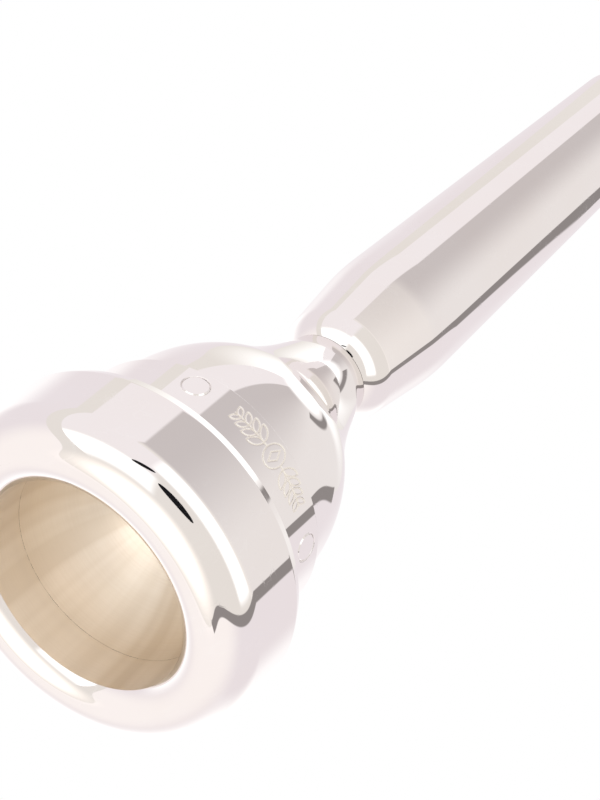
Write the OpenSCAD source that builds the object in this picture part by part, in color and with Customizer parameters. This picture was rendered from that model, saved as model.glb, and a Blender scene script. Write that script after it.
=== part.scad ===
// Three-piece mouthpiece for a brass instrument, standing on its rim.
// The Z axis is the air path: z = 0 is the plane that touches the crown of the
// rim, and the shank points up. Millimetres.

/* [Rim] */
// Outside diameter of the head
head_d = 27.4; // [27:0.1:28]
// Height of the head, from the crown to its back face
head_h = 8.6; // [8.4:0.1:9]
// Diameter of the circle along the top of the crown
crown_d = 21.2; // [20.8:0.1:21.6]
// Radius of the crown's fall into the cup
crown_in_r = 2.4; // [2.3:0.05:2.6]
// Depth of the bevel on the back edge of the head
head_bevel = 0.45; // [0.3:0.05:0.6]
// Length of that bevel along the axis
head_bevel_l = 0.95; // [0.8:0.05:1.2]

/* [Cup] */
// Diameter of the cup at its inner edge
bite_d = 17.3; // [17:0.1:17.4]
// Radius of the round bowl
bowl_r = 8.5; // [8.4:0.05:8.5]
// Height of the bowl's centre above the crown plane
bowl_z = 4.2; // [4:0.1:4.4]
// Diameter of the throat
throat_d = 3.66; // [3.6:0.02:3.8]
// Radius of the rounded edge between the bowl and the throat
throat_round = 2.5; // [2:0.1:3]
// Height where the throat begins to open again
throat_end = 24; // [20:1:28]

/* [Band ring] */
// Outside diameter of the band ring
band_d = 22; // [21.8:0.1:22.4]
// Height of the band ring's back face
band_top = 14.65; // [14.4:0.05:15]
// Small chamfer on the ring's edges
band_chamfer = 0.12; // [0.05:0.01:0.2]
// Diameter of a band stud
stud_d = 2.1; // [1.9:0.1:2.4]
// Height of the studs' axes
stud_z = 13.1; // [12.5:0.1:13.3]
// Angle from the middle of the front to the studs beside it
stud_angle = 40; // [36:1:45]

/* [Dome and neck] */
// Diameter of the dome where it leaves the band
dome_d = 20.6; // [20.2:0.1:20.8]
// Height where the dome starts to curve in
dome_z = 15.2; // [15:0.1:15.6]
// Radius of the dome's outline
dome_r = 15; // [14:0.5:16]
// Diameter of the neck where it meets the shank
neck_d = 7.5; // [7.3:0.1:7.6]
// Slope of the neck's outline where it meets the shank
neck_slope = 12; // [8:1:14]
// Height of the joint between the neck and the shank
joint_z = 32.9; // [32.6:0.1:33.5]

/* [Shank] */
// Overall height of the mouthpiece
total_h = 86.5; // [84:0.5:89]
// Diameter of the shank at its shoulder, before the shoulder is rounded
shoulder_d = 9.4; // [9.2:0.1:9.8]
// Radius of the rounded shoulder
shoulder_round = 3.5; // [3:0.1:4]
// Largest diameter, where the standard taper starts
taper_d = 11.6; // [11.4:0.1:11.8]
// Height of the largest diameter
taper_z = 42.4; // [41:0.1:44]
// The taper loses one part in this many in diameter
taper_ratio = 20; // [19:0.1:21]
// Diameter of the backbore at the end of the shank
exit_d = 8.4; // [8:0.1:8.6]
// Diameter of the air path where the stem ends
stem_bore_d = 4.1; // [4:0.02:4.2]

/* [Threads and seals] */
// Pitch of both threads
pitch = 0.75; // [0.75:0.05:0.8]
// Outside diameter of the thread that carries the rim
rim_thread_d = 19.9; // [19.8:0.1:20]
// Outside diameter of the stem's thread
stem_thread_d = 6; // [5.9:0.1:6]
// Height of a thread's ridge
ridge_h = 0.42; // [0.35:0.01:0.45]
// Height of the face where the rim sits on the cup
rim_face_z = 4.6; // [4.5:0.1:4.8]
// Length of the stem on the cup
stem_l = 6.5; // [6:0.1:7]
// Thickness of the rim's seal ring
rim_seal_t = 0.8; // [0.7:0.05:0.8]
// Thickness of the shank's seal ring
shank_seal_t = 0.7; // [0.6:0.05:0.7]

/* [Hidden] */

$fn = 96;
eps = 0.01;
gap = 0.02;                     // faces that meet across a joint
run = 0.05;                     // radial clearance of parts that turn
seal_gap = 0.03;                // room around a seal ring in its groove

silver = [0.87, 0.86, 0.85];
seal_black = [0.12, 0.12, 0.13];

head_r = head_d / 2;
crown_r = crown_d / 2;
crown_out_r = head_r - crown_r;
bite_r = bite_d / 2;
bite_z = crown_in_r - sqrt(pow(crown_in_r, 2) - pow(crown_r - bite_r, 2));
throat_r = throat_d / 2;

// Rounded edge of the throat: its centre touches both the bowl and the throat.
edge_x = throat_r + throat_round;
edge_z = bowl_z + sqrt(pow(bowl_r + throat_round, 2) - pow(edge_x, 2));
edge_share = bowl_r / (bowl_r + throat_round);

band_r = band_d / 2;
seat_z = head_h + gap;          // where the cup and the ring meet the rim's back face
socket_r = rim_thread_d / 2 + run;
ring_seat_r = socket_r;

// The dome and the neck are two arcs that meet with one slope. The first is centred at
// dome_x, dome_z, and the second is hollow, with its centre outside the metal.
dome_x = dome_d / 2 - dome_r;
curve_l = joint_z - dome_z;
curve_h = neck_d / 2 - dome_x;
neck_r = (pow(curve_l, 2) + pow(curve_h, 2) - pow(dome_r, 2))
         / (2 * (dome_r - curve_h * cos(neck_slope) - curve_l * sin(neck_slope)));
neck_x = neck_d / 2 + neck_r * cos(neck_slope);
neck_z = joint_z + neck_r * sin(neck_slope);
turn = asin((neck_z - dome_z) / (dome_r + neck_r));
meet_z = dome_z + dome_r * sin(turn);
meet_x = dome_x + dome_r * cos(turn);

stem_r = stem_thread_d / 2;
stem_end = joint_z + stem_l;
land_l = 2;                     // plain length of the stem, which the seal ring grips
shank_z = joint_z + gap;
shank_socket_r = stem_r + run;
shank_socket_end = stem_end + 0.1;
end_d = taper_d - (total_h - taper_z) / taper_ratio;

// The shoulder's arc runs from the neck's edge to the swelling barrel, and meets it with
// the barrel's own slope, round_l along the barrel from where a square shoulder would be.
barrel_slope = atan((taper_d - shoulder_d) / 2 / (taper_z - shank_z));
drop = (shoulder_d - neck_d) / 2;
round_l = sqrt(pow(drop * sin(barrel_slope), 2) - pow(drop, 2)
               + 2 * drop * shoulder_round * cos(barrel_slope)) - drop * sin(barrel_slope);
round_top_x = shoulder_d / 2 + round_l * sin(barrel_slope);
round_top_z = shank_z + round_l * cos(barrel_slope);

// Thread runs, from the first full ridge to the last.
rim_thread_z = [rim_face_z + 0.45, rim_face_z + 2.35];
stem_thread_z = [joint_z + land_l + 0.4, stem_end - 0.55];

// Seal rings: each sits in a groove and travels with the piece that holds it.
rim_seal_r = socket_r + seal_gap + rim_seal_t / 2;
rim_seal_z = head_h - 0.95;
shank_seal_r = stem_r + 2 * seal_gap + shank_seal_t / 2;
shank_seal_z = joint_z + 1.35;

// Angles of the four studs around the axis; the front is -Y.
stud_angles = [-90 - stud_angle, -90 + stud_angle, 90 - stud_angle, 90 + stud_angle];
stud_in = ring_seat_r - 0.9;    // inner end of a stud
stud_out = band_r - 0.02;       // flat outer end of a stud

module disc_at(x, z, r) {
    translate([x, z]) circle(r);
}

// A rectangle from x0 to x1 and z0 to z1 in the section plane.
module box_at(x0, z0, x1, z1) {
    translate([x0, z0]) square([x1 - x0, z1 - z0]);
}

// Section of the whole air path: entry, bowl, throat and backbore.
module air_section() {
    polygon([[0, -1], [bite_r, -1], [bite_r, bite_z], [bowl_r, bowl_z], [0, bowl_z]]);
    intersection() {
        disc_at(0, bowl_z, bowl_r);
        box_at(0, bowl_z - eps, bowl_r + 1, bowl_z + bowl_r);
    }
    difference() {
        polygon([[0, bowl_z + (edge_z - bowl_z) * edge_share],
                 [edge_x * edge_share, bowl_z + (edge_z - bowl_z) * edge_share],
                 [edge_x, edge_z], [0, edge_z]]);
        disc_at(edge_x, edge_z, throat_round);
    }
    polygon([[0, edge_z - eps], [throat_r, edge_z - eps], [throat_r, throat_end],
             [stem_bore_d / 2, stem_end], [backbore_r(0), stem_end],
             for (i = [1:backbore_steps]) [backbore_r(i / backbore_steps), backbore_z(i / backbore_steps)],
             [exit_d / 2, total_h + 1], [0, total_h + 1]]);
}

// The backbore opens fast at first and slower towards the end of the shank.
backbore_steps = 6;
function backbore_z(u) = stem_end + (total_h - stem_end) * u;
function backbore_r(u) = stem_bore_d / 2 + (exit_d - stem_bore_d) / 2 * pow(u, 0.8);

// A ring groove with flat sides, cut around a seal.
module groove_section(r, z, t, x_open) {
    half = t / 2 + seal_gap;
    box_at(min(r - half, x_open), z - half, max(r + half, x_open), z + half);
}

// A thread's ridge: a trapezoid swept up a helix, fading out at both ends.
module thread_ridge(core_r, crest_r, z_range) {
    per_turn = 32;
    turns = (z_range[1] - z_range[0]) / pitch;
    count = ceil(turns * per_turn);
    root_half = 0.38 * pitch;
    crest_half = 0.09 * pitch;
    sink = 0.06;
    fade = per_turn / 3;
    function rise(i) = min(1, i / fade, (count - i) / fade);
    function ring(i) = let (a = 360 * turns * i / count,
                            z = z_range[0] + pitch * turns * i / count,
                            top = core_r - sink / 2 + (crest_r - core_r + sink / 2) * rise(i))
        [for (p = [[core_r - sink, -root_half], [top, -crest_half],
                   [top, crest_half], [core_r - sink, root_half]])
            [p[0] * cos(a), p[0] * sin(a), z + p[1]]];
    points = [for (i = [0:count]) each ring(i)];
    sides = [for (i = [0:count - 1], k = [0:3])
        let (b = 4 * i, n = (k + 1) % 4)
        each [[b + k, b + n, b + 4 + n], [b + k, b + 4 + n, b + 4 + k]]];
    last = 4 * count;
    polyhedron(points, concat([[3, 2, 1, 0]], sides, [[last, last + 1, last + 2, last + 3]]));
}

// Rim and head: a thick cap that screws over the front of the cup.
module rim() {
    lead_in = 0.25;
    color(silver) rotate_extrude() difference() {
        union() {
            intersection() {
                disc_at(crown_r, crown_out_r, crown_out_r);
                box_at(crown_r, 0, head_r, crown_out_r);
            }
            intersection() {
                disc_at(crown_r, crown_in_r, crown_in_r);
                box_at(0, 0, crown_r + eps, crown_in_r);
            }
            polygon([[0, crown_in_r - eps], [crown_r, crown_in_r - eps], [crown_r, crown_out_r],
                     [head_r, crown_out_r], [head_r, head_h - head_bevel_l],
                     [head_r - head_bevel, head_h], [0, head_h]]);
        }
        air_section();
        polygon([[0, rim_face_z], [socket_r, rim_face_z], [socket_r, head_h - lead_in],
                 [socket_r + lead_in, head_h], [socket_r + lead_in, head_h + 1], [0, head_h + 1]]);
        groove_section(rim_seal_r, rim_seal_z, rim_seal_t, socket_r - eps);
    }
}

module seal_ring(r, z, t) {
    color(seal_black) rotate_extrude() disc_at(r, z, t / 2);
}

module rim_seal() {
    seal_ring(rim_seal_r, rim_seal_z, rim_seal_t);
}

module shank_seal() {
    seal_ring(shank_seal_r, shank_seal_z, shank_seal_t);
}

// Points along +X after the stud's own turn about the axis.
module stud_shape(r, inner, outer, angle) {
    rotate([0, 0, angle]) translate([inner, 0, stud_z]) rotate([0, 90, 0]) cylinder(h = outer - inner, r = r);
}

module band_ring() {
    color(silver) difference() {
        rotate_extrude()
            polygon([[ring_seat_r + gap, seat_z], [band_r - band_chamfer, seat_z],
                     [band_r, seat_z + band_chamfer], [band_r, band_top - band_chamfer],
                     [band_r - band_chamfer, band_top], [ring_seat_r + gap, band_top]]);
        for (angle = stud_angles) stud_shape(stud_d / 2 + gap / 2, stud_in, band_r + 1, angle);
    }
}

// A plain pin through the ring into the cup, with a flat polished end.
module band_stud(i) {
    bevel = 0.1;
    color(silver) intersection() {
        stud_shape(stud_d / 2, stud_in + gap, stud_out, stud_angles[i]);
        rotate([0, 0, stud_angles[i]]) translate([stud_in, 0, stud_z]) rotate([0, 90, 0])
            cylinder(h = stud_out - stud_in, r1 = stud_d / 2 - bevel + stud_out - stud_in,
                     r2 = stud_d / 2 - bevel);
    }
}

module band_stud_1() { band_stud(0); }
module band_stud_2() { band_stud(1); }
module band_stud_3() { band_stud(2); }
module band_stud_4() { band_stud(3); }

// Section of the cup: threaded front, ring seat, dome, neck and the stem for the shank.
module cup_section() {
    core_r = stem_r - ridge_h;
    front_z = rim_face_z + gap;
    front_r = rim_thread_d / 2;
    front_core_r = front_r - ridge_h;
    polygon([[0, front_z], [front_core_r - 0.2, front_z], [front_core_r, front_z + 0.2],
             [front_core_r, front_z + 2.55], [front_r, front_z + 2.65], [front_r, seat_z],
             [ring_seat_r, seat_z], [ring_seat_r, dome_z], [0, dome_z]]);
    box_at(0, band_top + gap, dome_d / 2, dome_z);
    intersection() {
        disc_at(dome_x, dome_z, dome_r);
        box_at(0, dome_z - eps, dome_d / 2, meet_z);
    }
    difference() {
        box_at(0, meet_z - eps, meet_x, joint_z);
        disc_at(neck_x, neck_z, neck_r);
    }
    polygon([[0, joint_z - eps], [stem_r, joint_z - eps], [stem_r, joint_z + land_l],
             [core_r, joint_z + land_l + 0.1], [core_r, stem_end - 0.15], [core_r - 0.15, stem_end],
             [0, stem_end]]);
}

module cup() {
    color(silver) union() {
        difference() {
            rotate_extrude() difference() {
                cup_section();
                air_section();
            }
            for (angle = stud_angles) stud_shape(stud_d / 2 + gap / 2, stud_in, band_r, angle);
        }
        thread_ridge(rim_thread_d / 2 - ridge_h, rim_thread_d / 2, rim_thread_z);
        thread_ridge(stem_r - ridge_h, stem_r - 0.02, stem_thread_z);
    }
}

// Shank: rounded shoulder, swelling barrel and the standard taper, around the backbore.
module shank() {
    round_in = 0.2;
    color(silver) rotate_extrude() difference() {
        union() {
            intersection() {
                disc_at(round_top_x - shoulder_round * cos(barrel_slope),
                        round_top_z + shoulder_round * sin(barrel_slope), shoulder_round);
                box_at(0, shank_z, round_top_x, round_top_z);
            }
            box_at(0, shank_z, stem_r, round_top_z);
            polygon([[0, round_top_z - eps], [round_top_x - eps, round_top_z - eps],
                     [round_top_x, round_top_z], [taper_d / 2, taper_z],
                     [end_d / 2, total_h - round_in], [end_d / 2 - round_in, total_h], [0, total_h]]);
        }
        box_at(0, shank_z - 1, shank_socket_r, shank_socket_end);
        groove_section(shank_seal_r, shank_seal_z, shank_seal_t, stem_r);
        air_section();
    }
}

rim();
rim_seal();
band_ring();
band_stud_1();
band_stud_2();
band_stud_3();
band_stud_4();
cup();
shank_seal();
shank();
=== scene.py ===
"""A silver-plated three-piece mouthpiece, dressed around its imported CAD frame.

The turned pieces are fine lathe meshes over their CAD nodes, with true normals, so that the
polished plate mirrors cleanly. The plate shows little but its surroundings, so the studio is
painted on the world round it, with a white panel and two dark cards close to the head.
Lengths are millimetres until a mesh, a light or the camera is made, and angles are degrees
about the air path, with -90 at the front.
"""
import math

import bpy
import numpy as np
from mathutils import Matrix, Vector


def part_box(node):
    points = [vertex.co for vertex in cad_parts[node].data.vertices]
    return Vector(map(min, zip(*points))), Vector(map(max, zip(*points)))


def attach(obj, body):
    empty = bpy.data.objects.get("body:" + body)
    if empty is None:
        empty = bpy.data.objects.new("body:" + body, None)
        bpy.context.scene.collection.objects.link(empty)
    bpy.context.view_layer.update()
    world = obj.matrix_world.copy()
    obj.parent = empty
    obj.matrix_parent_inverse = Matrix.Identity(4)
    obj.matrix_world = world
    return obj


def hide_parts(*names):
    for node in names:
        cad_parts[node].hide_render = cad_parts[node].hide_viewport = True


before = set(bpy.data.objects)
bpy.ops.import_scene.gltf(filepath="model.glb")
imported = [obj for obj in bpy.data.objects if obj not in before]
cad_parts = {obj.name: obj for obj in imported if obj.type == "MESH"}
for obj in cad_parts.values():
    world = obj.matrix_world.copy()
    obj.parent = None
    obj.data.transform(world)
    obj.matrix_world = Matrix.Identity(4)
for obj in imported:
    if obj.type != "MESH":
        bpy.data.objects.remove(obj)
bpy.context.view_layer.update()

MM = 0.001


def top(node):
    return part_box(node)[1].z / MM


def bottom(node):
    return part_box(node)[0].z / MM


def widest(node):
    """Largest radius of a node that is round about the air path."""
    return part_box(node)[1].x / MM


# ------------------------------------------------------------------ sizes
HEAD_R = widest("rim")
HEAD_H = top("rim")
CROWN_R = 10.6                  # the circle along the top of the crown
CROWN_IN_R = 2.4                # radius of the crown's fall into the cup
CROWN_OUT_R = HEAD_R - CROWN_R
BITE_R = 8.65                   # inner edge of the rim
HEAD_BEVEL = 0.45
HEAD_BEVEL_L = 0.95
RIM_FACE_Z = 4.6                # where the rim sits on the cup
SOCKET_R = 10.0
LEAD_IN = 0.25

BOWL_R = 8.5
BOWL_Z = 4.2
THROAT_R = 1.83
THROAT_ROUND = 2.5
THROAT_END = 24.0

BAND_R = widest("band_ring")
BAND_LOW = bottom("band_ring")
BAND_TOP = top("band_ring")
STUDS = sorted(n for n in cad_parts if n.startswith("band_stud"))
STUD_R = (top(STUDS[0]) - bottom(STUDS[0])) / 2

DOME_R = 10.3                   # radius where the dome leaves the band
DOME_Z = 15.2
DOME_ARC = 15.0
NECK_R = 3.75
NECK_SLOPE = 12                 # of the neck's outline at the joint, in degrees
JOINT_Z = 32.9
STEM_R = 3.0
STEM_LAND = 2.0
STEM_END = JOINT_Z + 6.5
STEM_BORE_R = 2.05

SHANK_Z = bottom("shank")
END_Z = top("shank")
SHOULDER_R = 4.7
SHOULDER_ROUND = 3.5
SWELL_R = widest("shank")
SWELL_Z = 42.4
SWELL_ROUND = 26.0
TAPER = 1 / 40                  # radius lost for each unit of length
EXIT_R = 4.2

PITCH = 0.75
RIDGE = 0.42                    # height of a thread's ridge
RIM_THREAD_L = 2.5
STEM_BEVEL = 0.15               # on the end of the stem's thread
GAP = 0.02                      # between faces that meet across a joint
RUN = 0.05                      # room between a thread and the bore that it turns in
SEAL_ROOM = 0.03                # room round a seal ring in its groove
SOFT = 0.06                     # round on a polished edge

FRONT = math.radians(-90)
MARK_Z = 13.1                   # middle of the engraving on the band
MARK_WIDE = 0.88                # millimetres to one unit of the sprig, across and up
MARK_TALL = 1.22
GRAVER_WIDTH = 0.075
GRAVER_DEPTH = 0.03
SEAT_BEVEL = 0.05               # depth and width of the bevel round a stud's seat
SEAT_BEVEL_W = 0.09


# ------------------------------------------------------------------ outlines
class Outline:
    """A closed section in the radius and height plane, walked with the metal on the left.

    Each run of points keeps its own outward normals, so that a corner stays crisp.
    """

    def __init__(self):
        self.runs = []

    def add(self, points, normals, finish, relief=None):
        self.runs.append((np.array(points), np.array(normals), finish, relief))

    def line(self, start, end, finish, step=None, relief=None):
        a, b = np.array(start, float), np.array(end, float)
        length = np.linalg.norm(b - a)
        if length < 1e-6:
            return
        count = 1 if step is None else max(1, math.ceil(length / step))
        points = [a + (b - a) * i / count for i in range(count + 1)]
        normal = np.array([b[1] - a[1], a[0] - b[0]]) / length
        self.add(points, [normal] * (count + 1), finish, relief)

    def arc(self, centre, radius, start, end, finish, step=0.2):
        """start and end are in degrees; a falling angle makes a hollow arc."""
        sweep = math.radians(end - start)
        count = max(3, math.ceil(abs(sweep) * radius / step))
        angles = [math.radians(start) + sweep * i / count for i in range(count + 1)]
        out = np.array([[math.cos(t), math.sin(t)] for t in angles])
        side = 1 if sweep > 0 else -1
        self.add(np.array(centre) + radius * out, side * out, finish)

    def path(self, corners, finish):
        """Straight lines through (radius, height, round) corners; the two ends have no round."""
        at = np.array(corners[0][:2], float)
        for here, after in zip(corners[1:-1], corners[2:]):
            corner = np.array(here[:2], float)
            before = (corner - at) / np.linalg.norm(corner - at)
            onward = np.array(after[:2], float) - corner
            onward /= np.linalg.norm(onward)
            turn = math.atan2(before[0] * onward[1] - before[1] * onward[0], before @ onward)
            if here[2] == 0 or abs(turn) < 1e-3:
                self.line(at, corner, finish)
                at = corner
                continue
            cut = here[2] * math.tan(abs(turn) / 2)
            side = math.copysign(1, turn)
            self.line(at, corner - before * cut, finish)
            centre = corner - before * cut + side * here[2] * np.array([-before[1], before[0]])
            first = math.degrees(math.atan2(before[1], before[0])) - 90 * side
            self.arc(centre, here[2], first, first + math.degrees(turn), finish,
                     step=max(0.02, here[2] / 80))
            at = corner + onward * cut
        self.line(at, corners[-1][:2], finish)


# ------------------------------------------------------------------ lathe
def columns_every(degrees):
    return np.radians(np.arange(0, 360, degrees))


def band_columns(fine=0.25, coarse=1.5):
    """Column angles that crowd together over the engraving and the studs."""
    edges = [(-140, -40), (-40, 40), (40, 60), (60, 120), (120, 140), (140, 220)]
    steps = [fine, coarse] * 3
    return np.radians(np.concatenate([np.arange(*edge, step) for edge, step in zip(edges, steps)]))


def spun(points, angles):
    """The points of a run turned to every column angle: rows, columns, xyz."""
    r, z = points[:, :1], points[:, 1:]
    return np.stack([r * np.cos(angles), r * np.sin(angles), z + 0 * angles], axis=-1)


def worked(points, normals, relief, angles):
    """A run with its relief pressed in along its normals, and the normals that it then has."""
    depth = relief(angles[None, :], points[:, :1], points[:, 1:])
    place = spun(points, angles) + spun(normals, angles) * depth[..., None]
    around = np.roll(place, -1, 1) - np.roll(place, 1, 1)
    along = np.gradient(place, axis=0)
    out = np.cross(around, along)
    return place, out / np.linalg.norm(out, axis=-1, keepdims=True)


def turned(name, outline, materials, angles=columns_every(1.5)):
    """A closed mesh of the outline turned about the air path."""
    columns = len(angles)
    places, quads, corner_normals, slots = [], [], [], []
    after = np.roll(np.arange(columns), -1)
    row = 0
    for points, normals, finish, relief in outline.runs:
        if relief is None:
            place, normal = spun(points, angles), spun(normals, angles)
        else:
            place, normal = worked(points, normals, relief, angles)
        places.append(place[:-1])
        rows = len(points) - 1
        for i in range(rows):
            low = (row + i) * columns + np.arange(columns)
            high = low + columns
            quads.append(np.stack([low, low - low % columns + after,
                                   high - high % columns + after, high], axis=1))
            corner_normals.append(np.stack([normal[i], normal[i][after],
                                            normal[i + 1][after], normal[i + 1]], axis=1))
        slots += [list(materials).index(finish)] * (rows * columns)
        row += rows
    quads = np.concatenate(quads) % (row * columns)
    mesh = bpy.data.meshes.new(name)
    mesh.from_pydata((np.concatenate(places).reshape(-1, 3) * MM).tolist(), [], quads.tolist())
    for material in materials.values():
        mesh.materials.append(material)
    mesh.polygons.foreach_set("material_index", slots)
    mesh.polygons.foreach_set("use_smooth", [True] * len(quads))
    mesh.normals_split_custom_set(np.concatenate(corner_normals).reshape(-1, 3).tolist())
    piece = bpy.data.objects.new(name, mesh)
    bpy.context.scene.collection.objects.link(piece)
    return piece


# ------------------------------------------------------------------ relief
def thread_relief(low, high):
    """The cut around a right-hand ridge between two heights, fading out at both ends."""
    def relief(angle, r, z):
        phase = np.mod(z / PITCH - angle / (2 * math.pi), 1)
        away = np.abs(phase - 0.5) * PITCH
        ridge = np.clip((0.38 * PITCH - away) / (0.29 * PITCH), 0, 1)
        fade = np.clip(np.minimum(z - low, high - z) / (0.5 * PITCH), 0, 1)
        return RIDGE * ridge * fade
    return relief


def leaf(u, v, at, angle, half_length, half_width):
    """Signed distance to a pointed leaf."""
    c, s = math.cos(angle), math.sin(angle)
    x = (u - at[0]) * c + (v - at[1]) * s
    y = (v - at[1]) * c - (u - at[0]) * s
    bend = (half_length ** 2 + half_width ** 2) / (2 * half_width)
    return np.hypot(x, np.abs(y) + bend - half_width) - bend


def sprig(u, v):
    """Distance to the lines of a plain sprig: a ring, a stem each way and paired leaves."""
    u = np.abs(u)
    ring = np.abs(np.hypot(u, v) - 0.95)
    diamond = np.abs((u / 0.42 + np.abs(v) / 0.62 - 1) * 0.35)
    stem = np.where(u < 0.95, 9.0, np.hypot(np.maximum(u - 4.7, 0), v))
    lines = np.minimum(np.minimum(ring, diamond), stem)
    for k in range(4):
        size = 0.72 - 0.09 * k
        start = 1.35 + 0.92 * k
        for side in (-1, 1):
            angle = side * math.radians(38)
            middle = (start + size * math.cos(angle), size * math.sin(angle))
            lines = np.minimum(lines, np.abs(leaf(u, v, middle, angle, size, 0.3 - 0.03 * k)))
    return lines


def around(angle, at):
    """The turn from at to angle, between half a turn back and half a turn on."""
    return np.mod(angle - at + math.pi, 2 * math.pi) - math.pi


def graver(angle, r, z):
    """How deep the graver cuts at each point of the band's front, from 0 to 1."""
    u, v = around(angle, FRONT) * r / MARK_WIDE, (z - MARK_Z) / MARK_TALL
    return np.clip(1 - (sprig(u, v) / GRAVER_WIDTH) ** 2, 0, 1)


def band_relief(angle, r, z):
    """The engraving on the band's front, and the seats that its studs are let into."""
    cut = GRAVER_DEPTH * graver(angle, r, z)
    seat_depth, seat_wall = BAND_R - SOCKET_R - 0.1, 0.03
    for stud in STUDS:
        low_corner, high_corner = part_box(stud)
        middle = (low_corner + high_corner) / 2 / MM
        across = around(angle, math.atan2(middle.y, middle.x)) * r
        away = np.hypot(across, z - middle.z) - STUD_R
        cut = np.maximum(cut, SEAT_BEVEL * np.clip(1.2 - away / SEAT_BEVEL_W, 0, 1))
        cut = np.maximum(cut, seat_depth * np.clip(-away / seat_wall, 0, 1))
    return -cut


# ------------------------------------------------------------------ outlines of the pieces
def edge_meet():
    """Centre of the round between the bowl and the throat."""
    x = THROAT_R + THROAT_ROUND
    return x, BOWL_Z + math.sqrt((BOWL_R + THROAT_ROUND) ** 2 - x ** 2)


def groove(seal):
    """Low side, high side and bottom radius of the groove that holds a seal ring."""
    return bottom(seal) - SEAL_ROOM, top(seal) + SEAL_ROOM, widest(seal) + SEAL_ROOM


def bowl_r(z):
    """Radius of the round bowl at a height."""
    return math.sqrt(BOWL_R ** 2 - (z - BOWL_Z) ** 2)


def bowl_arc(outline, start_z, end_z):
    """The bowl between two heights, walked downwards."""
    angles = [math.degrees(math.asin((z - BOWL_Z) / BOWL_R)) for z in (start_z, end_z)]
    outline.arc((0, BOWL_Z), BOWL_R, *angles, "satin", step=0.35)


def rim_outline():
    section = Outline()
    bite_angle = 180 + math.degrees(math.acos((CROWN_R - BITE_R) / CROWN_IN_R))
    section.arc((CROWN_R, CROWN_IN_R), CROWN_IN_R, bite_angle, 270, "polish", step=0.08)
    section.arc((CROWN_R, CROWN_OUT_R), CROWN_OUT_R, -90, 0, "polish", step=0.12)
    seal_low, seal_high, groove_r = groove("rim_seal")
    section.path([(HEAD_R, CROWN_OUT_R), (HEAD_R, HEAD_H - HEAD_BEVEL_L, 0.5),
                  (HEAD_R - HEAD_BEVEL, HEAD_H, SOFT), (SOCKET_R + LEAD_IN, HEAD_H, 0.02),
                  (SOCKET_R, HEAD_H - LEAD_IN, 0), (SOCKET_R, seal_high, 0),
                  (groove_r, seal_high, 0), (groove_r, seal_low, 0), (SOCKET_R, seal_low, 0),
                  (SOCKET_R, RIM_FACE_Z, 0), (bowl_r(RIM_FACE_Z), RIM_FACE_Z)], "polish")
    bowl_arc(section, RIM_FACE_Z, BOWL_Z)
    bite_z = CROWN_IN_R + CROWN_IN_R * math.sin(math.radians(bite_angle))
    section.line((BOWL_R, BOWL_Z), (BITE_R, bite_z), "satin", step=0.4)
    return section


def neck_arc():
    """The dome's turn in degrees, and the hollow arc that takes it on to the joint."""
    slope = math.radians(NECK_SLOPE)
    across, along = NECK_R - DOME_R + DOME_ARC, JOINT_Z - DOME_Z
    lean = across * math.cos(slope) + along * math.sin(slope)
    hollow = (across ** 2 + along ** 2 - DOME_ARC ** 2) / (2 * (DOME_ARC - lean))
    centre = (NECK_R + hollow * math.cos(slope), JOINT_Z + hollow * math.sin(slope))
    return math.degrees(math.asin((centre[1] - DOME_Z) / (DOME_ARC + hollow))), hollow, centre


def cup_front(section):
    """The threaded front of the cup, from the bowl's edge out to the dome."""
    front_z, front_r = RIM_FACE_Z + GAP, SOCKET_R - RUN
    core_r, chamfer = front_r - RIDGE, 0.2
    thread_start, thread_end = front_z + chamfer, front_z + RIM_THREAD_L
    section.path([(bowl_r(front_z), front_z), (core_r - chamfer, front_z, 0),
                  (core_r, thread_start)], "thread")
    section.line((core_r, thread_start), (core_r, thread_end), "thread", step=0.06,
                 relief=thread_relief(thread_start, thread_end))
    section.path([(core_r, thread_end), (front_r, thread_end + 0.12, 0), (front_r, BAND_LOW, 0),
                  (SOCKET_R, BAND_LOW, 0), (SOCKET_R, BAND_TOP + GAP, 0),
                  (DOME_R, BAND_TOP + GAP, SOFT), (DOME_R, DOME_Z)], "polish")


def dome_and_neck(section):
    """The dome's arc and the neck's hollow one; returns the point where the neck's edge begins."""
    turn, hollow, centre = neck_arc()
    edge_z = JOINT_Z - 0.08
    slope = math.asin((centre[1] - edge_z) / hollow)
    section.arc((DOME_R - DOME_ARC, DOME_Z), DOME_ARC, 0, turn, "polish", step=0.25)
    section.arc(centre, hollow, 180 + turn, 180 + math.degrees(slope), "polish", step=0.25)
    return centre[0] - hollow * math.cos(slope), edge_z


def stem(section, edge):
    """The stem for the shank, from the neck's edge to the bevel on its end."""
    core_r, land_z = STEM_R - RIDGE, JOINT_Z + STEM_LAND
    thread_start, thread_end = land_z + 0.1, STEM_END - STEM_BEVEL
    section.path([edge, (NECK_R, JOINT_Z, 0.05), (STEM_R, JOINT_Z, 0), (STEM_R, land_z, 0),
                  (core_r, thread_start)], "polish")
    section.line((core_r, thread_start), (core_r, thread_end), "thread", step=0.07,
                 relief=thread_relief(thread_start, thread_end))
    return core_r, thread_end


def cup_outline():
    section = Outline()
    cup_front(section)
    stem_r, stem_z = stem(section, dome_and_neck(section))
    edge_x, edge_z = edge_meet()
    section.path([(stem_r, stem_z), (stem_r - STEM_BEVEL, STEM_END, 0), (STEM_BORE_R, STEM_END, 0),
                  (THROAT_R, THROAT_END, 0), (THROAT_R, edge_z)], "bore")
    meet = math.degrees(math.atan2(edge_z - BOWL_Z, edge_x))
    section.arc((edge_x, edge_z), THROAT_ROUND, 180, 180 + meet, "satin", step=0.15)
    bowl_arc(section, BOWL_Z + BOWL_R * math.sin(math.radians(meet)), RIM_FACE_Z + GAP)
    return section


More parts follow.
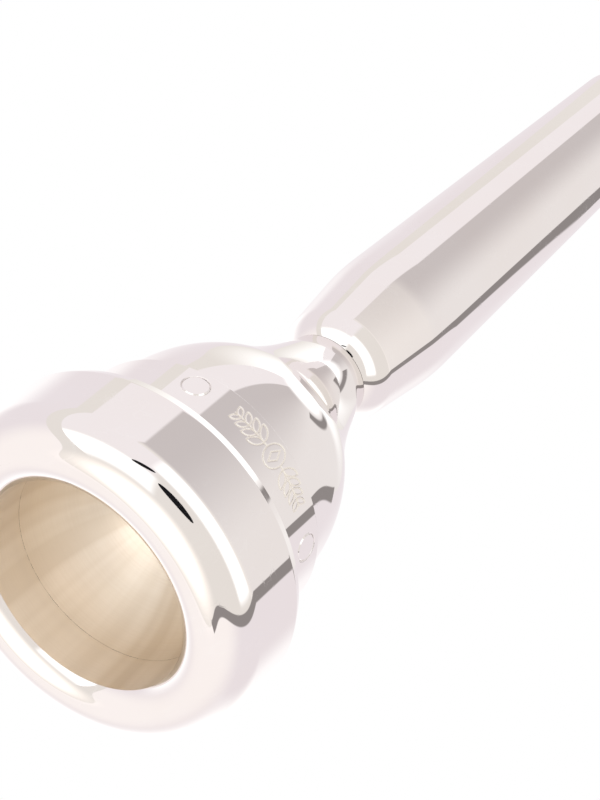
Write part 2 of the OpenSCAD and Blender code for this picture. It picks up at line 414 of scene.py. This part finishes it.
def band_outline():
    section = Outline()
    worked_low, worked_high = MARK_Z - 2.0, BAND_TOP - SOFT
    inner = SOCKET_R + GAP
    section.path([(inner, BAND_LOW), (BAND_R, BAND_LOW, SOFT), (BAND_R, worked_low)], "polish")
    section.line((BAND_R, worked_low), (BAND_R, worked_high), "polish", step=0.06,
                 relief=band_relief)
    section.arc((BAND_R - SOFT, worked_high), SOFT, 0, 90, "polish", step=0.02)
    section.path([(BAND_R - SOFT, BAND_TOP), (inner, BAND_TOP, 0), (inner, BAND_LOW)], "polish")
    return section


def backbore_r(z):
    """The backbore opens fast at first and slower towards the end."""
    u = (z - STEM_END) / (END_Z - STEM_END)
    return STEM_BORE_R + (EXIT_R - STEM_BORE_R) * u ** 0.8


def shoulder(section):
    """The rounded shoulder; returns the point where the swelling barrel takes over."""
    slope = math.atan2(SWELL_R - SHOULDER_R, SWELL_Z - SHANK_Z)
    c, s, drop = math.cos(slope), math.sin(slope), SHOULDER_R - NECK_R
    along = math.sqrt((drop * s) ** 2 - drop ** 2 + 2 * drop * SHOULDER_ROUND * c) - drop * s
    end = (SHOULDER_R + along * s, SHANK_Z + along * c)
    centre = (end[0] - SHOULDER_ROUND * c, end[1] + SHOULDER_ROUND * s)
    first = -math.degrees(math.asin((centre[1] - SHANK_Z) / SHOULDER_ROUND))
    section.arc(centre, SHOULDER_ROUND, first, -math.degrees(slope), "polish", step=0.1)
    return end


def shank_outline():
    section = Outline()
    end_r, end_round = SWELL_R - (END_Z - SWELL_Z) * TAPER, 0.2
    socket_r, socket_end = STEM_R + RUN, STEM_END + 0.1
    seal_low, seal_high, groove_r = groove("shank_seal")
    section.line((socket_r, SHANK_Z), (NECK_R, SHANK_Z), "polish")
    section.path([shoulder(section), (SWELL_R, SWELL_Z, SWELL_ROUND), (end_r, END_Z, end_round),
                  (EXIT_R, END_Z)], "polish")
    steps = 24
    heights = [END_Z + (socket_end - END_Z) * i / steps for i in range(steps + 1)]
    section.path([(backbore_r(z), z, 0) for z in heights], "bore")
    section.path([(backbore_r(socket_end), socket_end), (socket_r, socket_end, 0),
                  (socket_r, seal_high, 0), (groove_r, seal_high, 0), (groove_r, seal_low, 0),
                  (socket_r, seal_low, 0), (socket_r, SHANK_Z)], "bore")
    return section


# ------------------------------------------------------------------ materials
class Nodes:
    """A node tree and short ways to add to it; an input takes a value or another node's output."""

    def __init__(self, tree):
        self.tree = tree

    def feed(self, value, socket):
        if isinstance(value, bpy.types.NodeSocket):
            self.tree.links.new(value, socket)
        elif socket.type == "RGBA":
            socket.default_value = (*value, 1)
        else:
            socket.default_value = value

    def node(self, kind, inputs=None, **settings):
        made = self.tree.nodes.new(kind)
        for key, value in settings.items():
            setattr(made, key, value)
        for key, value in (inputs or {}).items():
            self.feed(value, made.inputs[key])
        return made

    def maths(self, operation, *values):
        return self.node("ShaderNodeMath", dict(enumerate(values)), operation=operation).outputs[0]

    def tint(self, mask, first, second):
        """A colour that goes from first to second as the mask goes from 0 to 1."""
        made = self.node("ShaderNodeMix", {"Factor": mask, "A": first, "B": second}, data_type="RGBA")
        return made.outputs["Result"]


class Shader(Nodes):
    """A Principled material, and textures that follow the place on the object."""

    def __init__(self, name, **sockets):
        self.material = bpy.data.materials.new(name)
        self.material.use_nodes = True
        super().__init__(self.material.node_tree)
        self.surface = self.tree.nodes["Principled BSDF"]
        self.place = self.node("ShaderNodeTexCoord").outputs["Object"]
        for socket, value in sockets.items():
            self.feed(value, self.surface.inputs[socket.replace("_", " ")])

    def flat(self):
        """The place with its height left out, and its height."""
        split = self.node("ShaderNodeSeparateXYZ", {0: self.place}).outputs
        return self.node("ShaderNodeCombineXYZ", {0: split[0], 1: split[1]}).outputs[0], split[2]

    def flat_noise(self, vector, scale, detail):
        """Noise that takes only the first two parts of the vector."""
        made = self.node("ShaderNodeTexNoise", {"Vector": vector, "Scale": scale, "Detail": detail},
                         noise_dimensions="2D")
        return made.outputs["Fac"]

    def noise(self, scale, detail=3.0, stretch=(1, 1, 1), turn=(0, 0, 0), swirl=0.0):
        """Noise of so many grains to the metre; a small stretch draws it out along an axis."""
        vector = self.node("ShaderNodeMapping", {"Vector": self.place, "Scale": stretch,
                                                 "Rotation": [math.radians(t) for t in turn]})
        made = self.node("ShaderNodeTexNoise", {"Vector": vector.outputs[0], "Scale": scale,
                                                "Detail": detail, "Distortion": swirl})
        return made.outputs["Fac"]

    def turning(self, scale, detail=2.0):
        """Fine rings about the air path, as a lathe tool or a polishing lap leaves them."""
        flat, height = self.flat()
        radius = self.node("ShaderNodeVectorMath", {0: flat}, operation="LENGTH").outputs["Value"]
        section = self.node("ShaderNodeCombineXYZ", {0: radius, 1: height}).outputs[0]
        return self.flat_noise(section, scale, detail)

    def painted_reflection_rays(self, scale, detail=1.0):
        """Soft streaks that fan out from the air path, painted in as the cup's reflections."""
        way = self.node("ShaderNodeVectorMath", {0: self.flat()[0]}, operation="NORMALIZE").outputs[0]
        return self.flat_noise(way, scale, detail)

    def brush(self):
        """Lays the gloss's long direction by the turn about the air path."""
        made = self.node("ShaderNodeTangent", direction_type="RADIAL", axis="Z")
        self.link(made.outputs[0], "Tangent")

    def span(self, value, low, high, start=0.3, end=0.7):
        """The value's stretch from start to end, carried to low and high."""
        made = self.node("ShaderNodeMapRange", {"Value": value, "From Min": start, "From Max": end,
                                                "To Min": low, "To Max": high})
        return made.outputs["Result"]

    def scratches(self, angles=(12, 74, 131), amount=0.035):
        """A mask of hairlines that lie in a few directions, each broken up along its length."""
        total = None
        for i, angle in enumerate(angles):
            hair = self.noise(900, 1.0, stretch=(1, 0.02, 1), turn=(angle * 0.7, angle, 40 * i))
            away = self.maths("ABSOLUTE", self.maths("SUBTRACT", hair, 0.5))
            line = self.span(away, 1, 0, 0, amount)
            patch = self.span(self.noise(240 + 35 * i, 2.0), 0, 1, 0.52, 0.64)
            line = self.maths("MULTIPLY", line, patch)
            total = line if total is None else self.maths("MAXIMUM", total, line)
        return total

    def link(self, output, socket):
        self.tree.links.new(output, self.surface.inputs[socket])

    def bump(self, *layers):
        """Stacks (height, distance in metres) layers into one normal."""
        normal = None
        for height, distance in layers:
            inputs = {"Height": height, "Distance": distance, "Strength": 1.0}
            if normal is not None:
                inputs["Normal"] = normal
            normal = self.node("ShaderNodeBump", inputs).outputs["Normal"]
        self.link(normal, "Normal")


MICRON = 1e-6


def polished_silver(engraved=False):
    """Mirror plate: a slow waviness, lap rings, handling hairlines and dull smears."""
    shader = Shader("silver_engraved" if engraved else "silver_polished", Metallic=1.0)
    smear = shader.span(shader.noise(150, 5, swirl=0.6), 0, 1, 0.5, 0.72)
    hairs = shader.scratches()
    cloud = shader.span(shader.noise(90, 3), 0, 1, 0.35, 0.7)
    colour = shader.tint(cloud, (0.945, 0.922, 0.915), (0.935, 0.902, 0.885))
    colour = shader.tint(shader.maths("MULTIPLY", hairs, 0.25), colour, (0.97, 0.96, 0.95))
    dull = shader.maths("ADD", shader.span(smear, 0.012, 0.045, 0, 1),
                        shader.maths("MULTIPLY", hairs, 0.10))
    if engraved:
        mask = shader.node("ShaderNodeAttribute", attribute_name="graver").outputs["Fac"]
        burnt = shader.span(shader.noise(9000, 2), 0.35, 0.55)
        colour = shader.tint(mask, colour, (0.93, 0.885, 0.80))
        dull = shader.maths("ADD", dull, shader.maths("MULTIPLY", mask, burnt))
    shader.link(colour, "Base Color")
    shader.link(dull, "Roughness")
    shader.bump((shader.noise(170, 1), 7 * MICRON), (shader.turning(5200), 0.09 * MICRON),
                (hairs, -0.25 * MICRON))
    return shader.material


def satin_silver():
    """The cup's inside: tool rings that smear its reflections, a warmer plate, and darker streaks
    painted in as reflection.
    """
    shader = Shader("silver_satin", Metallic=1.0, Anisotropic=0.8, Anisotropic_Rotation=0.25)
    rings = shader.turning(7000, 3)
    cloud = shader.noise(210, 4, swirl=0.8)
    # painted reflection: darker streaks that fan out from the air path, laid into the colour
    painted_reflection_streak = shader.span(shader.painted_reflection_rays(3.6, 2), 0, 1, 0.36, 0.62)
    colour = shader.tint(shader.span(cloud, 0, 1), (1.0, 0.935, 0.845), (0.975, 0.90, 0.795))
    colour = shader.tint(shader.maths("MULTIPLY", painted_reflection_streak, 0.8), colour, (0.87, 0.785, 0.67))
    grain = shader.span(rings, -0.04, 0.04)
    shader.link(shader.tint(shader.span(rings, 0, 0.2), colour, (0.86, 0.78, 0.68)), "Base Color")
    shader.link(shader.maths("ADD", shader.span(cloud, 0.36, 0.44), grain), "Roughness")
    shader.brush()
    shader.bump((shader.noise(300, 2), 4 * MICRON), (rings, 0.7 * MICRON),
                (shader.noise(16000, 2), 0.4 * MICRON))
    return shader.material


def bore_silver():
    """Reamed air path and thread sockets: coarser rings and a thinner plate."""
    shader = Shader("silver_bore", Metallic=1.0, Anisotropic=0.4)
    rings = shader.turning(4200, 3)
    worn = shader.span(shader.noise(340, 4), 0, 1, 0.4, 0.65)
    shader.link(shader.tint(worn, (0.90, 0.87, 0.83), (0.84, 0.79, 0.72)), "Base Color")
    dull = shader.maths("ADD", shader.span(rings, 0.20, 0.34), shader.span(worn, 0, 0.08, 0, 1))
    shader.link(dull, "Roughness")
    shader.brush()
    shader.bump((rings, 3 * MICRON), (shader.noise(12000, 2), 0.6 * MICRON))
    return shader.material


def thread_silver():
    """Cut threads: chatter along the flanks and a trace of grease that dulls them in patches."""
    shader = Shader("silver_thread", Metallic=1.0)
    grease = shader.span(shader.noise(700, 4, swirl=1.0), 0, 1, 0.42, 0.66)
    chatter = shader.noise(2600, 2, stretch=(1, 1, 0.25))
    shader.link(shader.tint(grease, (0.90, 0.875, 0.84), (0.72, 0.66, 0.57)), "Base Color")
    dull = shader.maths("ADD", shader.span(grease, 0.14, 0.36, 0, 1), shader.span(chatter, 0, 0.06))
    shader.link(dull, "Roughness")
    shader.bump((chatter, 3 * MICRON), (shader.noise(15000, 2), 0.8 * MICRON))
    return shader.material


def seal_rubber():
    """Moulded rubber: fine pebbling, a greasy sheen in patches and a little pale dust."""
    shader = Shader("rubber_black")
    dust = shader.span(shader.noise(5200, 4), 0, 0.35, 0.58, 0.75)
    shader.link(shader.tint(dust, (0.021, 0.021, 0.023), (0.11, 0.105, 0.10)), "Base Color")
    shader.link(shader.span(shader.noise(900, 3), 0.42, 0.68), "Roughness")
    shader.bump((shader.noise(9000, 3), 5 * MICRON), (shader.noise(1100, 2), 12 * MICRON))
    return shader.material


# ------------------------------------------------------------------ pieces
def place_piece(piece, body, node):
    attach(piece, body)
    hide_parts(node)


def mark_engraving(piece):
    """Stores where the graver has cut, for the band's material."""
    mesh = piece.data
    places = np.empty(len(mesh.vertices) * 3)
    mesh.vertices.foreach_get("co", places)
    x, y, z = places.reshape(-1, 3).T / MM
    cut = graver(np.arctan2(y, x), BAND_R, z) * (np.hypot(x, y) > BAND_R - 2 * GRAVER_DEPTH)
    mesh.attributes.new("graver", "FLOAT", "POINT").data.foreach_set("value", cut)


def make_pieces():
    silver = {"polish": polished_silver(), "satin": satin_silver(), "bore": bore_silver(),
              "thread": thread_silver()}
    rubber = seal_rubber()
    place_piece(turned("rim_turned", rim_outline(), silver), "rim_body", "rim")
    place_piece(turned("cup_turned", cup_outline(), silver), "cup_body", "cup")
    place_piece(turned("shank_turned", shank_outline(), silver), "shank_body", "shank")
    band = turned("band_ring_turned", band_outline(), {"polish": polished_silver(engraved=True)},
                  band_columns())
    mark_engraving(band)
    place_piece(band, "cup_body", "band_ring")
    for node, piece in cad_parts.items():
        piece.data.materials.clear()
        piece.data.materials.append(rubber if node.endswith("seal") else silver["polish"])


# ------------------------------------------------------------------ camera
VIEW_AIM = Vector((0.1, -0.3, 28.9))
VIEW_AZIMUTH = -100.1
VIEW_ELEVATION = -44.16
VIEW_DISTANCE = 181.0
VIEW_ROLL = -48.9
LENS = 103.5


def direction(azimuth, height):
    """A unit vector, from an azimuth about the air path and a height, both in degrees."""
    a, h = math.radians(azimuth), math.radians(height)
    return Vector((math.cos(a) * math.cos(h), math.sin(a) * math.cos(h), math.sin(h)))


def make_camera():
    data = bpy.data.cameras.new("camera")
    data.lens = LENS
    data.sensor_width = 36
    data.clip_start = 0.005
    data.clip_end = 50
    camera = bpy.data.objects.new("camera", data)
    bpy.context.scene.collection.objects.link(camera)
    back = direction(VIEW_AZIMUTH, VIEW_ELEVATION)
    camera.rotation_mode = "QUATERNION"
    camera.location = (VIEW_AIM + back * VIEW_DISTANCE) * MM
    level = (-back).to_track_quat("-Z", "Y")
    roll = Matrix.Rotation(-math.radians(VIEW_ROLL), 3, "Z").to_quaternion()
    camera.rotation_quaternion = level @ roll
    bpy.context.scene.camera = camera


# ------------------------------------------------------------------ painted studio
class Sky(Nodes):
    """The studio round the object, painted on the world by azimuth and height in degrees."""

    def __init__(self, world, colour):
        world.use_nodes = True
        super().__init__(world.node_tree)
        way = self.node("ShaderNodeTexCoord").outputs["Generated"]
        x, y, z = self.node("ShaderNodeSeparateXYZ", {0: way}).outputs
        self.azimuth = self.maths("DEGREES", self.maths("ARCTAN2", y, x))
        self.height = self.maths("DEGREES", self.maths("ARCSINE", z))
        self.below = self.maths("MULTIPLY", self.height, -1)
        self.colour = colour

    def step(self, value, edge, soft):
        """0 below the edge and 1 above it, over a soft width."""
        made = self.node("ShaderNodeMapRange", {"Value": value, "From Min": edge - soft / 2,
                                                "From Max": edge + soft / 2},
                         interpolation_type="SMOOTHSTEP")
        return made.outputs[0]

    def both(self, first, second):
        return self.maths("MULTIPLY", first, second)

    def between(self, value, low, high, soft):
        return self.both(self.step(value, low, soft),
                         self.maths("SUBTRACT", 1.0, self.step(value, high, soft)))

    def panel(self, azimuths, heights, soft):
        """1 within a range of azimuths and a range of heights, with soft sides."""
        return self.both(self.between(self.azimuth, *azimuths, soft),
                         self.between(self.height, *heights, soft))

    def reach(self, centre, size, power):
        """1 on the edge of a rounded shape, less inside it."""
        parts = []
        for value, middle, half in zip((self.azimuth, self.height), centre, size):
            away = self.maths("DIVIDE", self.maths("SUBTRACT", value, middle), half)
            parts.append(self.maths("POWER", self.maths("ABSOLUTE", away), power))
        return self.maths("ADD", *parts)

    def paint(self, colour, mask):
        """Lays a colour over what is painted so far."""
        self.colour = self.tint(mask, self.colour, colour)


PAPER = (0.86, 0.80, 0.825)     # the pale sheet that the object is shot on
GLOW = (1.02, 0.965, 0.945)     # the sheet where the lamps fall on it
LAMP = (1.9, 1.75, 1.62)        # the warm lamp that shines up into the cup
SIDE = (0.93, 0.88, 0.89)
WHITE = (1.25, 1.25, 1.24)      # soft boxes
GREY_CARD = (0.61, 0.565, 0.56)
GREY_LIGHT = (0.86, 0.82, 0.805)
WARM_LIGHT = (0.95, 0.90, 0.855)
PALE_CARD = (0.83, 0.79, 0.75)  # whatever nothing else is painted over
SHADE = (0.29, 0.265, 0.26)     # edges of the grey card and of the sheet
DARK = (0.012, 0.012, 0.014)


def paint_back(sky):
    """What the plate sees past the sheet: soft boxes, and the grey card along the front."""
    sky.paint(WHITE, sky.panel((-200, -118), (-52, -16), 10))
    sky.paint(SIDE, sky.panel((-200, -120), (-16, 100), 8))
    card = sky.panel((-141, 60), (29, 100), 2.5)
    sky.paint(GREY_CARD, card)
    sky.paint(GREY_LIGHT, sky.both(card, sky.step(sky.azimuth, -88, 70)))
    sky.paint(WARM_LIGHT, sky.both(card, sky.step(sky.below, -34, 14)))
    sky.paint(SHADE, sky.panel((-60, 70), (75.5, 79), 1.5))
    sky.paint(WHITE, sky.step(sky.height, 81, 4))
    sky.paint(WHITE, sky.panel((34, 200), (66, 100), 26))


def paint_sheet(sky):
    """The pale sheet with rounded corners, its dark edge on the near side, and its lamps."""
    sheet = sky.reach((72, 0), (99, 57), 6)
    edge = sky.between(sheet, 0.72, 1.12, 0.06)
    paper = sky.maths("SUBTRACT", 1.0, sky.step(sheet, 0.98, 0.04))
    sky.paint(PAPER, paper)
    sky.paint(GLOW, sky.both(paper, sky.step(sky.below, 22, 36)))
    sky.paint(LAMP, sky.step(sky.below, 68, 34))
    sky.paint(SHADE, sky.both(edge, sky.maths("LESS_THAN", sky.azimuth, 20)))
    sky.paint(WHITE, sky.panel((30, 130), (-10, 40), 30))


def make_world():
    """The plate mirrors the painted studio, and the camera sees plain white behind the object."""
    scene = bpy.context.scene
    scene.view_settings.view_transform = "Standard"
    scene.world = bpy.data.worlds.new("studio")
    sky = Sky(scene.world, PALE_CARD)
    paint_back(sky)
    paint_sheet(sky)
    seen = sky.tree.nodes["Background"]
    sky.feed((1, 1, 1), seen.inputs["Color"])
    mirrored = sky.node("ShaderNodeBackground", {"Color": sky.colour})
    camera_ray = sky.node("ShaderNodeLightPath").outputs["Is Camera Ray"]
    mix = sky.node("ShaderNodeMixShader", {0: camera_ray, 1: mirrored.outputs[0],
                                           2: seen.outputs[0]})
    sky.feed(mix.outputs[0], sky.tree.nodes["World Output"].inputs["Surface"])


# ------------------------------------------------------------------ stage
CARD_REACH = 25.0               # from the crown to the dark cards
SOFT_BOX_R = 53.0
SOFT_BOX_AZIMUTHS = (-119.5, -42.0)
SOFT_BOX_HEIGHTS = (0.4, 25.6)  # in millimetres, as its sides are drawn on a cylinder
FLOOR_SIZE = 3000
KEY_POWER = 1.8
KEY_SPREAD = 14                 # how wide the lamp looks from the object, in degrees
KEY_TURN = (38, -24, 0)


def stage_mesh(name, places, faces, material):
    """A mesh on the stage, from places in millimetres, that lights and shades nothing dull."""
    mesh = bpy.data.meshes.new(name)
    mesh.from_pydata((np.array(places) * MM).tolist(), [], faces)
    mesh.materials.append(material)
    thing = bpy.data.objects.new(name, mesh)
    bpy.context.scene.collection.objects.link(thing)
    thing.visible_diffuse = False
    thing.visible_transmission = False
    thing.visible_shadow = False
    return thing


def make_card(name, azimuth, height, size, lean=0):
    """A dark oval beside the head, turned to face the spot on the crown that mirrors it."""
    toward = direction(azimuth, height)
    normal = (toward + direction(VIEW_AZIMUTH, VIEW_ELEVATION)).normalized()
    ring = Vector((normal.x, normal.y, 0)).normalized() * CROWN_R + Vector((0, 0, CROWN_OUT_R))
    turn = Matrix.Rotation(-math.radians(lean), 3, "Z")
    angles = [math.tau * i / 64 for i in range(64)]
    places = [turn @ Vector((size[0] * math.cos(t), size[1] * math.sin(t), 0)) for t in angles]
    shader = Shader(name, Base_Color=DARK, Roughness=1.0, Specular_IOR_Level=0.0)
    card = stage_mesh(name, places, [range(64)], shader.material)
    card.visible_camera = False
    card.rotation_mode = "QUATERNION"
    card.rotation_quaternion = (-toward).to_track_quat("Z", "Y")
    card.location = (ring + normal * CROWN_OUT_R + toward * CARD_REACH) * MM


def ramp(values, limits, soft):
    """1 between the limits and 0 past them, with a straight ramp across each limit."""
    rise = np.clip((values - limits[0]) / soft + 0.5, 0, 1)
    fall = np.clip((limits[1] - values) / soft + 0.5, 0, 1)
    return rise * fall


def make_soft_box():
    """A low curved white panel that lights the head's crown and passes the shank by."""
    angles = np.arange(-126.0, -34.0, 2.0)
    heights = np.arange(-3.0, 30.0, 1.0)
    a, z = np.meshgrid(angles, heights)
    x, y = SOFT_BOX_R * np.cos(np.radians(a)), SOFT_BOX_R * np.sin(np.radians(a))
    places = np.stack([x, y, z], -1).reshape(-1, 3)
    columns = len(angles)
    low = (np.arange(len(heights) - 1)[:, None] * columns + np.arange(columns - 1)).ravel()
    quads = np.stack([low, low + 1, low + 1 + columns, low + columns], axis=1).tolist()
    shader = Shader("soft_box", Base_Color=(0, 0, 0), Specular_IOR_Level=0.0,
                    Emission_Color=WHITE, Emission_Strength=1.0)
    shader.link(shader.node("ShaderNodeAttribute", attribute_name="shine").outputs["Fac"], "Alpha")
    box = stage_mesh("soft_box", places, quads, shader.material)
    box.visible_camera = False
    shine = ramp(a, SOFT_BOX_AZIMUTHS, soft=5.0) * ramp(z, SOFT_BOX_HEIGHTS, soft=4.0)
    box.data.attributes.new("shine", "FLOAT", "POINT").data.foreach_set("value", shine.ravel())


def make_floor():
    """A pale floor, which shows only from above, so that the view from below the rim is open."""
    places = [(x * FLOOR_SIZE, y * FLOOR_SIZE, 0) for x, y in ((-1, -1), (1, -1), (1, 1), (-1, 1))]
    shader = Shader("floor", Base_Color=(0.58, 0.572, 0.57), Roughness=0.6)
    under = shader.node("ShaderNodeNewGeometry").outputs["Backfacing"]
    clear = shader.node("ShaderNodeBsdfTransparent").outputs[0]
    mix = shader.node("ShaderNodeMixShader", {0: under, 1: shader.surface.outputs[0], 2: clear})
    shader.feed(mix.outputs[0], shader.tree.nodes["Material Output"].inputs["Surface"])
    floor = stage_mesh("floor", places, [(0, 1, 2, 3)], shader.material)
    floor.visible_glossy = False


def make_key_light():
    """A soft lamp that gives the floor its shadow, and that the plate doesn't mirror."""
    data = bpy.data.lights.new("key", "SUN")
    data.energy = KEY_POWER
    data.angle = math.radians(KEY_SPREAD)
    lamp = bpy.data.objects.new("key", data)
    bpy.context.scene.collection.objects.link(lamp)
    lamp.rotation_euler = [math.radians(turn) for turn in KEY_TURN]
    lamp.visible_glossy = False


make_camera()
make_world()
make_key_light()
make_floor()
make_soft_box()
make_card("dark_card", azimuth=-101, height=-23, size=(7.8, 3.0))
make_card("dark_strip", azimuth=-127, height=-12, size=(4.9, 1.4), lean=33)
make_pieces()
